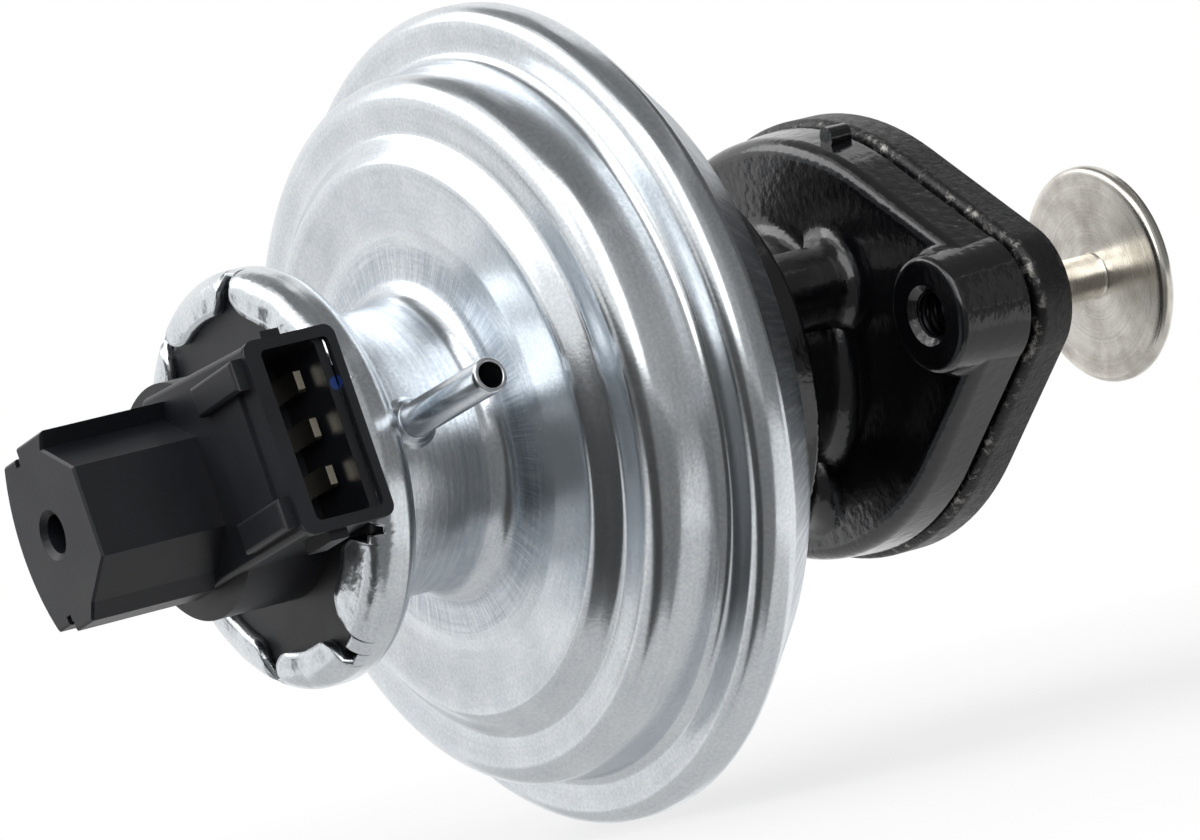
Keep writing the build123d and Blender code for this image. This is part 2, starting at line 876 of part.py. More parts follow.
cover = front_cover()
nodes = {
    "base_plate": base_plate(),
    "base_gasket": base_gasket(),
    "valve_body": valve_body(),
    "guide_bush": guide_bush(),
    "stem_seal": stem_seal(),
    "spacer": spacer(),
    "rear_cover": rear_cover(),
    "front_cover": cover,
    "vacuum_nipple": vacuum_nipple(),
    "nipple_braze": nipple_braze(cover),
    "diaphragm": diaphragm(),
    "diaphragm_washer": diaphragm_washer(),
    "diaphragm_plate": diaphragm_plate(),
    "stem": stem(),
    "stem_nut": stem_nut(),
    "valve_plate": valve_plate(),
    "return_spring": return_spring(),
    "sensor_housing": sensor_housing(),
    "sensor_seal": sensor_seal(),
    "sensor_guide": sensor_guide(),
    "sensor_plunger": sensor_plunger(),
    "wiper_carrier": wiper_carrier(),
    "sensor_spring": sensor_spring(),
    "track_board": track_board(),
}
for number, angle in enumerate(column_angles(), start=1):
    nodes[f"cover_screw_{number}"] = cover_screw(angle)
for number, step in enumerate(terminal_steps, start=1):
    nodes[f"terminal_{number}"] = terminal(step)
for number, side in enumerate((-1, 1), start=1):
    nodes[f"wiper_contact_{number}"] = wiper_contact(side)

os.makedirs("parts", exist_ok=True)
for name, shape in nodes.items():
    export_step(shape, f"parts/{name}.step")
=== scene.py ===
"""Dresses the vacuum EGR valve: pressed can, casting, flange, stem and position sensor.

Every piece is in metres in the frame's own axes: the origin is the centre of the mounting face,
+X runs along the stem towards the valve plate, and the sensor's socket opens towards -Y.
"""

import math

import bmesh
import bpy
import numpy as np
from bpy.props import FloatProperty, FloatVectorProperty, PointerProperty
from mathutils import Matrix, Vector


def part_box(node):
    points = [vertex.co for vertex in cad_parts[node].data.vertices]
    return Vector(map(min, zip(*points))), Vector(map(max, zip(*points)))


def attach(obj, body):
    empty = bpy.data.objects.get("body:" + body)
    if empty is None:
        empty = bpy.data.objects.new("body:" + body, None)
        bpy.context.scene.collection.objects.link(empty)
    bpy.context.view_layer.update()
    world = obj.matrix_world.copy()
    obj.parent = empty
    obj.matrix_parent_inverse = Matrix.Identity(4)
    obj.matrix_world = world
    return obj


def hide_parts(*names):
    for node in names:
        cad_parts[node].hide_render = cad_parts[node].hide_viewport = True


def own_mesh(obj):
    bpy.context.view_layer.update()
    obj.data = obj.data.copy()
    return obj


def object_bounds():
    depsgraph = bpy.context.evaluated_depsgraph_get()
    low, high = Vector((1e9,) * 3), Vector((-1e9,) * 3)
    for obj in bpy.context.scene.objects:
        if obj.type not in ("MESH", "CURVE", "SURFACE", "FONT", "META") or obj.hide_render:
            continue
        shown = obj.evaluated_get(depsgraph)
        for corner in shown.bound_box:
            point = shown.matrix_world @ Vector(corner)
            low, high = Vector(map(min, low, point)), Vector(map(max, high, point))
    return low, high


bl_info = {
    "name": "Vacuum EGR valve",
    "version": (1, 0, 0),
    "blender": (4, 5, 0),
    "location": "3D View > Sidebar > EGR valve",
    "description": "Finishes of a vacuum operated EGR valve with a stem position sensor",
    "category": "Object",
}

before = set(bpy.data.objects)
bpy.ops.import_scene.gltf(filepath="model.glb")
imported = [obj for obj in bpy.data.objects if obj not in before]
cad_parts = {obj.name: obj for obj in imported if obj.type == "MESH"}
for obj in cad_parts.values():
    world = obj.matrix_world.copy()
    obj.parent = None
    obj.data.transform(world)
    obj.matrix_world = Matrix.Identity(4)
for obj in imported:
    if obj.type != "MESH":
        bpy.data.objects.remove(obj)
cad_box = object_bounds()

MM = 0.001
# Smallest length a profile may have, so that a pole or a sharp corner stays a ring of points
TINY = 0.01 * MM
# Station of the mouth of the flange's tapped holes, behind the bosses' chamfer
BORE_MOUTH = -12.4 * MM
# Middle of the inspector's dot of blue paint on the wall of the socket
PAINT_DOT = (-77.3 * MM, -21.1 * MM, 7.75 * MM)
# The bodies that new pieces ride on
HOUSING = "housing"
LIFT = "lift_group"

# The camera's axes in the frame, and the point it looks at in metres
CAMERA_RIGHT = (0.8161, -0.5238, -0.2442)
CAMERA_UP = (0.2056, -0.1317, 0.9697)
CAMERA_BACK = (-0.5401, -0.8416, 0.0001)
LOOK_AT = (-0.03424, 0.00100, -0.00215)

# The studio's grey and black cards: (azimuths, elevations, brightness, distance in metres)
CARDS = {
    "card_floor": ((-180, 180), (-89, -27), 0.66, 1.9),
    "card_ceiling": ((-180, 180), (59, 89), 0.21, 1.8),
    "card_far_left": ((-178, -112), (40, 59), 0.3, 1.7),
    "card_left_low": ((-110, -64), (-21, -6), 0.12, 1.7),
    "card_beside_camera": ((-64, -18), (-62, 4), 0.06, 1.7),
    "card_under_camera": ((-18, 62), (-60, 2), 0.21, 1.7),
    "card_over_camera": ((12, 58), (4, 58), 0.42, 1.7),
    "card_right": ((58, 98), (0, 58), 0.2, 1.7),
    "card_right_high": ((98, 160), (8, 57), 0.11, 1.7),
}

# Quiet finishes: colour, metallic, roughness, grain and the grain's height in mm
QUIET_FINISHES = {
    # Flat dark grey with a felted grain
    "Graphite fibre, rolled sheet": ("1E1E21", 0.0, 0.75, 0.3, 0.02),
    # Dark steel under thin paint, which glints along the thread's crests
    "Iron, tapped and painted thinly": ("3C3C40", 1.0, 0.3, 0.2, 0.004),
    # Small pale gold mirrors that are dark where they face the socket's walls
    "Brass, stamped and silver plated": ("F4EBD6", 1.0, 0.2, 0.3, 0.001),
    # Dull dark grey with a fine tooth
    "Spring wire, phosphated": ("5A5A5C", 1.0, 0.45, 0.2, 0.004),
    # Dull black with a faint bloom, moulded over cloth
    "Nitrile rubber, moulded": ("1A1A1B", 0.0, 0.75, 0.3, 0.02),
    # Cold grey with a soft sheen, smoothed by the press
    "Pressed steel, zinc plated": ("B9BDC4", 1.0, 0.32, 0.4, 0.004),
    # Black, a little glossier than the diaphragm
    "Fluoro rubber, moulded": ("1C1C1D", 0.0, 0.65, 0.3, 0.01),
    # Waxy cream white with a soft highlight
    "Acetal, moulded": ("E4DFD0", 0.0, 0.4, 0.3, 0.006),
    # Bright warm grey, rolled smooth
    "Contact spring, silver plated": ("DDD8CC", 1.0, 0.25, 0.1, 0.002),
    # Brown gold, matt from its open pores
    "Sintered bronze, oil filled": ("9C7A4C", 1.0, 0.5, 0.3, 0.01),
    # Dense black with a silky bloom
    "Carbon, moulded": ("242427", 0.0, 0.5, 0.3, 0.01),
    # Red brown, dry, with the paper's grain
    "Phenolic sheet, punched": ("4A2E1C", 0.0, 0.6, 0.4, 0.01),
    # Bright grey with fine lines from the die
    "Stainless steel, drawn rod": ("CBC7BF", 1.0, 0.25, 0.2, 0.002),
    # Deep green with the glass cloth's slight weave under the resin
    "Glass epoxy laminate": ("2C4A38", 0.0, 0.4, 0.5, 0.006),
    # Pale grey, a little rough from the header's dies
    "Zinc plated steel, cold headed": ("B4B4B2", 1.0, 0.35, 0.3, 0.004),
}

# The inner nodes that each finish is given to
INNER_PARTS = {
    "Pressed steel, zinc plated": ("rear_cover", "diaphragm_washer", "diaphragm_plate", "stem_nut"),
    "Fluoro rubber, moulded": ("sensor_seal",),
    "Acetal, moulded": ("sensor_guide", "wiper_carrier"),
    "Contact spring, silver plated": ("wiper_contact_1", "wiper_contact_2"),
    "Sintered bronze, oil filled": ("guide_bush",),
    "Carbon, moulded": ("stem_seal",),
    "Phenolic sheet, punched": ("spacer",),
    "Stainless steel, drawn rod": ("sensor_plunger",),
    "Glass epoxy laminate": ("track_board",),
    "Zinc plated steel, cold headed": ("cover_screw_1", "cover_screw_2", "cover_screw_3"),
}


def number(name, description, value, **more):
    """A number in the panel."""
    return FloatProperty(name=name, description=description, default=value, **more)


def length(name, description, millimetres):
    """A size of the valve, shown in the panel in the scene's own length unit."""
    return number(name, description, millimetres * MM, unit="LENGTH", precision=5)


def colour(name, description, code):
    """A finish's colour, written as an sRGB hex value."""
    return FloatVectorProperty(
        name=name, description=description, default=linear(code)[:3],
        subtype="COLOR", size=3, min=0.0, max=1.0,
    )


def rgba(value):
    """Red, green and blue with an alpha of 1."""
    return (*value, 1.0)


def linear(code):
    """An sRGB hex value such as C8CCD2 as linear RGBA, by the sRGB standard's curve."""
    values = [int(code[i : i + 2], 16) / 255 for i in (0, 2, 4)]
    return rgba(v / 12.92 if v <= 0.04045 else ((v + 0.055) / 1.055) ** 2.4 for v in values)


class CanSizes(bpy.types.PropertyGroup):
    """Outer sizes of the pressed and plated front cover."""

    sheet: length("Sheet", "Thickness of the pressed sheet", 1.2)
    tab_face: length("Tab face", "Distance of the tabs' outer face from the mounting face", 77.0)
    tab_inner: length("Tab edge", "Radius of the longest crimped tab's inner edge", 15.9)
    tab_trim: length("Tab trim", "How much shorter the other tabs are", 1.7)
    cup_radius: length("Cup", "Radius of the cup that grips the sensor", 21.8)
    cup_floor: length("Cup floor", "Distance of the cup's floor from the mounting face", 71.0)
    tube_radius: length("Neck", "Radius of the drawn neck", 15.0)
    dome_root: length("Dome root", "Distance of the neck's root from the mounting face", 56.4)
    dome_radius: length("Dome", "Radius of the dome's side wall", 37.4)
    rim_radius: length("Rim", "Radius of the rolled rim", 43.5)
    crimp_radius: length("Crimp", "Radius of the crimped skirt's rear edge", 37.1)
    slot_width: length("Slot", "Width of the notches between the tabs", 2.1)
    slot_clocks: FloatVectorProperty(
        name="Notches", description="Angles of the notches, up from the nipple's side",
        default=[math.radians(a) for a in (24, 82, 126, 168, 210, 251, 297, 338)],
        size=8, subtype="NONE",
    )


class NippleSizes(bpy.types.PropertyGroup):
    """Sizes of the vacuum nipple."""

    station: length("Station", "Distance of the nipple's axis from the mounting face", 66.4)
    outer: length("Outer radius", "Outer radius of the tube", 1.85)
    bore: length("Bore radius", "Inner radius of the tube", 1.35)
    reach: length("Reach", "Distance of the nipple's end from the stem axis", 32.3)
    braze: length("Braze", "Outer radius of the braze at the nipple's foot", 2.8)
    clock: number(
        "Clock", "Angle of the nipple above the horizontal", math.radians(8.5), subtype="ANGLE"
    )


class StemSizes(bpy.types.PropertyGroup):
    """Sizes of the stem and its valve plate."""

    stem_radius: length("Stem radius", "Radius of the ground stem", 2.5)
    plate_radius: length("Plate radius", "Radius of the valve plate", 12.13)
    plate_thickness: length("Plate thickness", "Thickness of the valve plate", 1.8)
    plate_reach: length("Plate reach", "Distance of its end face from the mounting face", 34.3)
    weld_radius: length("Weld radius", "Radius of the weld fillet on the plate", 2.65)
    weld_length: length("Weld length", "Length of the weld fillet along the stem", 0.2)


class BoreSizes(bpy.types.PropertyGroup):
    """Sizes of the threaded holes in the flange."""

    spacing: length("Spacing", "Distance between the two threaded holes", 62.4)
    core: length("Core", "Radius of the hole", 2.5)
    pitch: length("Pitch", "Pitch of the thread", 1.0)
    ridge: length("Ridge", "Height of the thread's ridges inside the hole", 0.22)


class SpringSizes(bpy.types.PropertyGroup):
    """Sizes of the two coil springs and the diaphragm."""

    return_wire: length("Return wire", "Wire diameter of the return spring", 2.2)
    return_coil: length("Return coil", "Mean radius of the return spring", 19.0)
    return_turns: number("Return turns", "Turns of the return spring", 4.5)
    sensor_wire: length("Sensor wire", "Wire diameter of the sensor's spring", 0.5)
    sensor_coil: length("Sensor coil", "Mean radius of the sensor's spring", 2.9)
    sensor_turns: number("Sensor turns", "Turns of the sensor's spring", 7.0)
    travel: length("Travel", "Lift of the valve", 8.0)
    rubber: length("Rubber", "Thickness of the diaphragm", 0.6)
    bead: length("Bead", "Outer radius of the diaphragm's bead", 40.2)
    bead_inner: length("Bead inside", "Inner radius of the bead", 38.9)
    fold_outer: length("Fold outside", "Outer radius of the rolling fold", 37.5)
    fold_inner: length("Fold inside", "Inner radius of the rolling fold", 26.8)


class FinishColours(bpy.types.PropertyGroup):
    """Colours of the finishes."""

    zinc_light: colour("Zinc light", "Bright zinc plating", "E3E7EA")
    zinc_dark: colour("Zinc dark", "Duller zinc plating", "B0B8C1")
    steel_light: colour("Steel light", "Polished stainless steel", "E2DED6")
    steel_dark: colour("Steel dark", "Stained stainless steel", "BDB8AF")
    paint: colour("Paint", "Black stoved paint", "0D0D10")
    plastic_light: colour("Plastic light", "Glass filled nylon where it greys", "1D1F26")
    plastic_dark: colour("Plastic dark", "Glass filled nylon", "0D0F13")


class StudioSettings(bpy.types.PropertyGroup):
    """Camera and lamps of the studio."""

    focal: number("Focal length", "Lens of the camera in millimetres", 195.0)
    distance: number("Distance", "Camera to the point it looks at", 0.6831, unit="LENGTH")
    key: number("Key", "Power of the left softbox in watts", 3.2)
    fill: number("Fill", "Power of the tall softbox in watts", 2.6)


GROUPS = {
    "egr_can": CanSizes,
    "egr_nipple": NippleSizes,
    "egr_stem": StemSizes,
    "egr_bores": BoreSizes,
    "egr_springs": SpringSizes,
    "egr_finish": FinishColours,
    "egr_studio": StudioSettings,
}


def settings(name):
    """One group of the scene's sizes or colours."""
    return getattr(bpy.context.scene, name)


def rounded_profile(corners, bends, step):
    """Dense (station, radius) points along straight runs joined by arcs, one for each bend.

    At each inner corner the arc of radius R touches both runs at R * tan(half the turn) from it;
    the runs between arcs are divided into spans no longer than step.
    """
    corners = np.asarray(corners, float)
    points = [corners[0]]
    for before, corner, after, bend in zip(corners[:-2], corners[1:-1], corners[2:], bends):
        into = (corner - before) / np.linalg.norm(corner - before)
        out = (after - corner) / np.linalg.norm(after - corner)
        turn = math.atan2(into[0] * out[1] - into[1] * out[0], into @ out)
        reach = bend * math.tan(abs(turn) / 2)
        side = math.copysign(1.0, turn)
        centre = corner - into * reach + side * bend * np.array([-into[1], into[0]])
        start = math.atan2(*(corner - into * reach - centre)[::-1])
        count = max(3, int(abs(turn) * max(bend, step) / (0.6 * step)) + 2)
        angles = start + np.linspace(0, turn, count)
        arc = centre + bend * np.c_[np.cos(angles), np.sin(angles)]
        points += [*run_between(points[-1], arc[0], step)[1:], *arc[1:]]
    points += list(run_between(points[-1], corners[-1], step)[1:])
    return np.array(points)


def run_between(start, end, step):
    """Evenly spaced points on a straight run, both ends included."""
    spans = max(1, int(np.linalg.norm(np.subtract(end, start)) / step))
    return np.linspace(start, end, spans + 1)


def offset_profile(profile, thickness):
    """The profile moved to its right by a thickness, along the mean normal of its two spans."""
    run = np.gradient(profile, axis=0)
    run /= np.linalg.norm(run, axis=1)[:, None]
    return profile + thickness * np.c_[run[:, 1], -run[:, 0]]


def grid_mesh(name, points, wrap_rows=False, wrap_columns=False, uv=None):
    """A mesh object from a grid of points (rows, columns, 3), with quads between neighbours.

    A wrapped direction joins its last row or column to its first, and the UV map, one (u, v) for
    each point, goes on past 1 there, so that no quad spans the whole map.
    """
    rows, columns = points.shape[:2]
    index = np.arange(rows * columns).reshape(rows, columns)
    if wrap_rows:
        index = np.vstack([index, index[:1]])
    if wrap_columns:
        index = np.hstack([index, index[:, :1]])
    mesh = bpy.data.meshes.new(name)
    mesh.from_pydata(points.reshape(-1, 3).tolist(), [], quad_corners(index).reshape(-1, 4).tolist())
    if uv is not None:
        layer = mesh.uv_layers.new(name="wrap")
        grown = uv
        if wrap_rows:
            grown = np.concatenate([grown, grown[:1] + [0, 1]], axis=0)
        if wrap_columns:
            grown = np.concatenate([grown, grown[:, :1] + [1, 0]], axis=1)
        layer.data.foreach_set("uv", quad_corners(grown).reshape(-1).astype(np.float32))
    return add_object(name, mesh)


def quad_corners(grid):
    """The four corners of each quad of a grid, in order round it."""
    return np.stack([grid[:-1, :-1], grid[:-1, 1:], grid[1:, 1:], grid[1:, :-1]], axis=2)


def add_object(name, mesh):
    """Link a finished mesh to the scene with smooth faces."""
    mesh.validate()
    mesh.polygons.foreach_set("use_smooth", np.ones(len(mesh.polygons), bool))
    mesh.update()
    item = bpy.data.objects.new(name, mesh)
    bpy.context.scene.collection.objects.link(item)
    return item


def distance_along(profile):
    """The distance walked along a profile to each of its points, in metres."""
    return np.r_[0, np.cumsum(np.linalg.norm(np.diff(profile, axis=0), axis=1))]


def wrap_uv(profile, segments):
    """UV of a turned grid: u is the share of a turn, v the distance along the profile in metres."""
    share = np.linspace(0, 1, segments, endpoint=False)
    return np.stack(np.broadcast_arrays(share[None], distance_along(profile)[:, None]), axis=-1)


def round_stem(station, radius, turn):
    """Points turned about the stem axis: (station, -radius * cos turn, radius * sin turn)."""
    across, up = -radius * np.cos(turn)[None], radius * np.sin(turn)[None]
    return np.stack(np.broadcast_arrays(station, across, up), axis=-1)


def turned(name, profile, segments):
    """A body of revolution about the stem axis, closed from the profile's end to its start."""
    turn = np.linspace(0, 2 * np.pi, segments, endpoint=False)
    points = round_stem(profile[:, :1], profile[:, 1:], turn)
    return face_outwards(grid_mesh(name, points, True, True, wrap_uv(profile, segments)))


def face_outwards(item):
    """Merge the seam's doubles and turn every face outwards."""
    work = bmesh.new()
    work.from_mesh(item.data)
    bmesh.ops.remove_doubles(work, verts=work.verts, dist=1e-7)
    bmesh.ops.recalc_face_normals(work, faces=work.faces)
    work.to_mesh(item.data)
    work.free()
    return item


def hammer_marks(rows, columns, seed, modes, lowest):
    """Smooth dents from -1 to 1 on a grid that closes on itself round the axis.

    Value = sum of cos(2 pi (a * u + b * v) + phase) / fourth root of (a^2 + b^2), over its greatest.
    Whole a, from lowest to lowest + 17, counts waves round the axis; b, up to 4, along the sheet.
    """
    draw = np.random.default_rng(seed)
    u = np.linspace(0, 1, columns, endpoint=False)[None, :, None]
    v = np.linspace(0, 1, rows)[:, None, None]
    across = draw.integers(lowest, lowest + 18, modes)
    along = draw.integers(0, 5, modes)
    phase = draw.uniform(0, 2 * np.pi, modes)
    waves = np.cos(2 * np.pi * (across * u + along * v) + phase) / np.hypot(across, along) ** 0.5
    total = waves.sum(axis=2)
    return total / np.abs(total).max()


def node(tree, kind, inputs=(), output=0, **choices):
    """Add a node, set or link its inputs, and return one of its outputs.

    Inputs are a tuple in the node's own order, or a dict by name or number.
    """
    made = tree.nodes.new("ShaderNode" + kind)
    for key, value in choices.items():
        setattr(made, key, value)
    for key, value in inputs.items() if isinstance(inputs, dict) else enumerate(inputs):
        if isinstance(value, bpy.types.NodeSocket):
            tree.links.new(value, made.inputs[key])
        else:
            made.inputs[key].default_value = value
    return made.outputs[output]


def noise(tree, place, size_mm, detail, roughness=0.5):
    """Noise with cells of a size in mm."""
    inputs = {"Vector": place, "Scale": 1 / (size_mm * MM), "Detail": detail, "Roughness": roughness}
    return node(tree, "TexNoise", inputs)


def bump(tree, height, depth_mm, strength, below=None):
    """A bump of a depth in mm over the one below, if any."""
    inputs = {"Height": height, "Distance": depth_mm * MM, "Strength": strength}
    if below is not None:
        inputs["Normal"] = below
    return node(tree, "Bump", inputs)


def ramp(tree, value, *limits):
    """A value carried from its own range to another, and held at the ends."""
    return node(tree, "MapRange", (value, *limits))


def new_material(name, **sockets):
    """A material with a Principled shader whose constant sockets are set."""
    material = bpy.data.materials.new(name)
    material.use_nodes = True
    tree = material.node_tree
    shader = tree.nodes["Principled BSDF"]
    for key, value in sockets.items():
        shader.inputs[key.replace("_", " ")].default_value = value
    return material, tree, shader


def show(tree, shader, **outputs):
    """Link outputs to the shader's sockets of the same name."""
    for key, value in outputs.items():
        tree.links.new(value, shader.inputs[key.replace("_", " ")])


def across_axis(tree):
    """The unit vector from the stem axis, the distance from it and the station along it."""
    place = node(tree, "TexCoord", (), "Object")
    station = node(tree, "SeparateXYZ", {"Vector": place}, "X")
    flat = node(tree, "VectorMath", (place, (0, 1, 1)), operation="MULTIPLY")
    unit = node(tree, "VectorMath", (flat,), operation="NORMALIZE")
    radius = node(tree, "VectorMath", (flat,), "Value", operation="LENGTH")
    return unit, radius, station


def drawn_round(tree, round_mm, along):
    """Coordinates for marks of a turned surface, with no seam.

    The unit vector from the stem axis is scaled by round_mm, so marks are stretched round the axis;
    the distance along the profile, from the piece's own UV map, is scaled by the factor along.
    """
    unit, _, _ = across_axis(tree)
    grown = node(tree, "VectorMath", {0: unit, "Scale": round_mm * MM}, operation="SCALE")
    uv = node(tree, "UVMap", uv_map="wrap")
    walk = node(tree, "SeparateXYZ", {"Vector": uv}, "Y")
    walk = node(tree, "Math", (walk, along), operation="MULTIPLY")
    walk = node(tree, "CombineXYZ", {"X": walk})
    return node(tree, "VectorMath", (grown, walk), operation="ADD")


def zinc_plate():
    """Mild steel sheet, deep drawn and bright zinc plated.

    The eye sees a soft blue-white mirror with a fine sparkle, faint rings from the blank that are
    stronger on the neck, short scores from drawing on the dome round the neck's root and on the
    crimped skirt, and the blows of the crimping tool on the tabs.
    """
    finish = settings("egr_finish")
    material, tree, shader = new_material("Zinc plated steel, deep drawn", Metallic=1.0)
    place = node(tree, "TexCoord", (), "Object")
    _, radius, station = across_axis(tree)
    # Clouds of the plating bath, 7 mm wide, and a sparkle drawn at 0.35 mm; the real one is finer
    clouds = noise(tree, place, 7, 3, 0.55)
    sparkle = noise(tree, place, 0.35, 2)
    # Rings 0.5 mm apart run round the axis, and scores 0.4 mm apart run down the sheet
    spun = drawn_round(tree, 1.0, 1.0)
    rings = noise(tree, spun, 0.5, 4, 0.6)
    scored = drawn_round(tree, 30.0, 0.05)
    scores = noise(tree, scored, 0.4, 3, 0.6)
    # The scores lie on the skirt behind the rim, and on the dome 16 to 21.5 mm from the axis
    skirt = ramp(tree, station, -41.2 * MM, -40.2 * MM, 0.0, 0.9)
    root_start = ramp(tree, radius, 16.0 * MM, 17.2 * MM, 0.0, 0.7)
    root_end = ramp(tree, radius, 19.5 * MM, 21.5 * MM, 1.0, 0.0)
    root = node(tree, "Math", (root_start, root_end), operation="MULTIPLY")
    on_dome = ramp(tree, station, -64 * MM, -60 * MM, 0.0, 1.0)
    root = node(tree, "Math", (root, on_dome), operation="MULTIPLY")
    share = node(tree, "Math", (skirt, root), operation="MAXIMUM")
    marks = node(tree, "Mix", {0: share, 2: rings, 3: scores})
    # Depth of the marks: faint rings, plainer ones on the neck, and the deepest for the scores
    depth = ramp(tree, share, 0.0, 1.0, 0.12, 1.5)
    neck = ramp(tree, radius, 15.2 * MM, 16.4 * MM, 0.5, 0.0)
    depth = node(tree, "Math", (depth, neck), operation="MAXIMUM")
    # Clouds, marks and sparkle each darken the colour a little
    cloud_shade = ramp(tree, clouds, 0.35, 0.7, 0.0, 0.22)
    mark_shade = ramp(tree, marks, 0.38, 0.68, 0.0, 1.0)
    mark_shade = node(tree, "Math", (mark_shade, depth), operation="MULTIPLY")
    spark_shade = ramp(tree, sparkle, 0.35, 0.65, 0.0, 0.25)
    shade = node(tree, "Math", (cloud_shade, mark_shade), operation="ADD")
    shade = node(tree, "Math", (shade, spark_shade), operation="ADD")
    light, dark = rgba(finish.zinc_light), rgba(finish.zinc_dark)
    tint = node(tree, "Mix", {0: shade, 6: light, 7: dark}, 2, data_type="RGBA")
    # Roughness 0.19 to 0.25, and 0.1 more where the sheet is scored
    dull = ramp(tree, clouds, 0.3, 0.7, 0.19, 0.25)
    drawn = ramp(tree, share, 0.0, 1.0, 0.0, 0.1)
    rough = node(tree, "Math", (dull, drawn), operation="ADD")
    # Bumps, from the widest to the finest: the drawn sheet's waves, the sparkle, the crimping
    # tool's blows on the tabs, and the marks
    waves = noise(tree, place, 3.5, 1)
    skin = bump(tree, waves, 0.005, 0.6)
    skin = bump(tree, sparkle, 0.008, 0.8, skin)
    tab = ramp(tree, station, -76 * MM, -74 * MM, 1.0, 0.0)
    hammered = noise(tree, place, 2.4, 3)
    blows = node(tree, "Math", (hammered, tab), operation="MULTIPLY")
    skin = bump(tree, blows, 0.17, 0.8, skin)
    cut = node(tree, "Math", (marks, depth), operation="MULTIPLY")
    skin = bump(tree, cut, 0.012, 0.8, skin)
    show(tree, shader, Base_Color=tint, Roughness=rough, Normal=skin)
    return material


def stainless(name, ring_mm):
    """Stainless steel, turned and polished, with turning rings ring_mm apart.

    The eye sees a warm grey mirror with fine rings and faint heat stains about 4 mm wide.
    """
    finish = settings("egr_finish")
    material, tree, shader = new_material(name, Metallic=1.0)
    place = node(tree, "TexCoord", (), "Object")
    _, radius, station = across_axis(tree)
    spot = node(tree, "CombineXYZ", {"X": radius, "Y": station})
    rings = noise(tree, spot, ring_mm, 3)
    stains = noise(tree, place, 4, 4, 0.6)
    shade = ramp(tree, stains, 0.42, 0.72, 0.0, 1.0)
    light, dark = rgba(finish.steel_light), rgba(finish.steel_dark)
    tint = node(tree, "Mix", {0: shade, 6: light, 7: dark}, 2, data_type="RGBA")
    stained = ramp(tree, stains, 0.3, 0.7, 0.12, 0.22)
    turned_marks = ramp(tree, rings, 0.35, 0.65, 0.03, 0.13)
    rough = node(tree, "Math", (stained, turned_marks), operation="ADD")
    skin = bump(tree, rings, 0.0012, 0.7)
    show(tree, shader, Base_Color=tint, Roughness=rough, Normal=skin)
    return material


def casting_paint():
    """Grey iron casting with stoved black enamel.

    The eye sees a deep gloss black skin with 1 mm orange peel over the casting's 4.5 mm ripples.
    """
    finish = settings("egr_finish")
    material, tree, shader = new_material(
        "Stoved black enamel on iron casting",
        Base_Color=rgba(finish.paint), Coat_Weight=0.5, Coat_Roughness=0.07,
    )
    place = node(tree, "TexCoord", (), "Object")
    peel = noise(tree, place, 1.0, 2)
    ripples = noise(tree, place, 4.5, 2)
    rough = ramp(tree, peel, 0.3, 0.7, 0.14, 0.26)
    skin = bump(tree, ripples, 0.12, 0.6)
    skin = bump(tree, peel, 0.06, 0.8, skin)
    show(tree, shader, Roughness=rough, Normal=skin, Coat_Normal=skin)
    return material


def stamped_paint():
    """Steel plate, stamped and painted black.

    The eye sees a dull gritty sheared edge, rubbed bare in bright specks where it meets the faces.
    """
    finish = settings("egr_finish")
    material, tree, shader = new_material("Stoved black paint on stamped steel")
    place = node(tree, "TexCoord", (), "Object")
    station = node(tree, "SeparateXYZ", {"Vector": place}, "X")
    grit = noise(tree, place, 0.9, 4, 0.7)
    chips = noise(tree, place, 1.5, 6, 0.75)
    # Wear is strong in the plate's millimetre next to the casting and faint at the mounting face
    near = ramp(tree, station, -4.05 * MM, -3.1 * MM, 1.0, 0.0)
    far = ramp(tree, station, -0.6 * MM, -0.05 * MM, 0.0, 0.15)
    edge = node(tree, "Math", (near, far), operation="MAXIMUM")
    bare = ramp(tree, chips, 0.54, 0.64, 0.0, 0.8)
    bare = node(tree, "Math", (bare, edge), operation="MULTIPLY")
    steel = linear("B9B6B0")
    tint = node(tree, "Mix", {0: bare, 6: rgba(finish.paint), 7: steel}, 2, data_type="RGBA")
    rough = ramp(tree, grit, 0.3, 0.7, 0.3, 0.52)
    skin = bump(tree, grit, 0.16, 0.9)
    show(tree, shader, Base_Color=tint, Metallic=bare, Roughness=rough, Normal=skin)
    return material


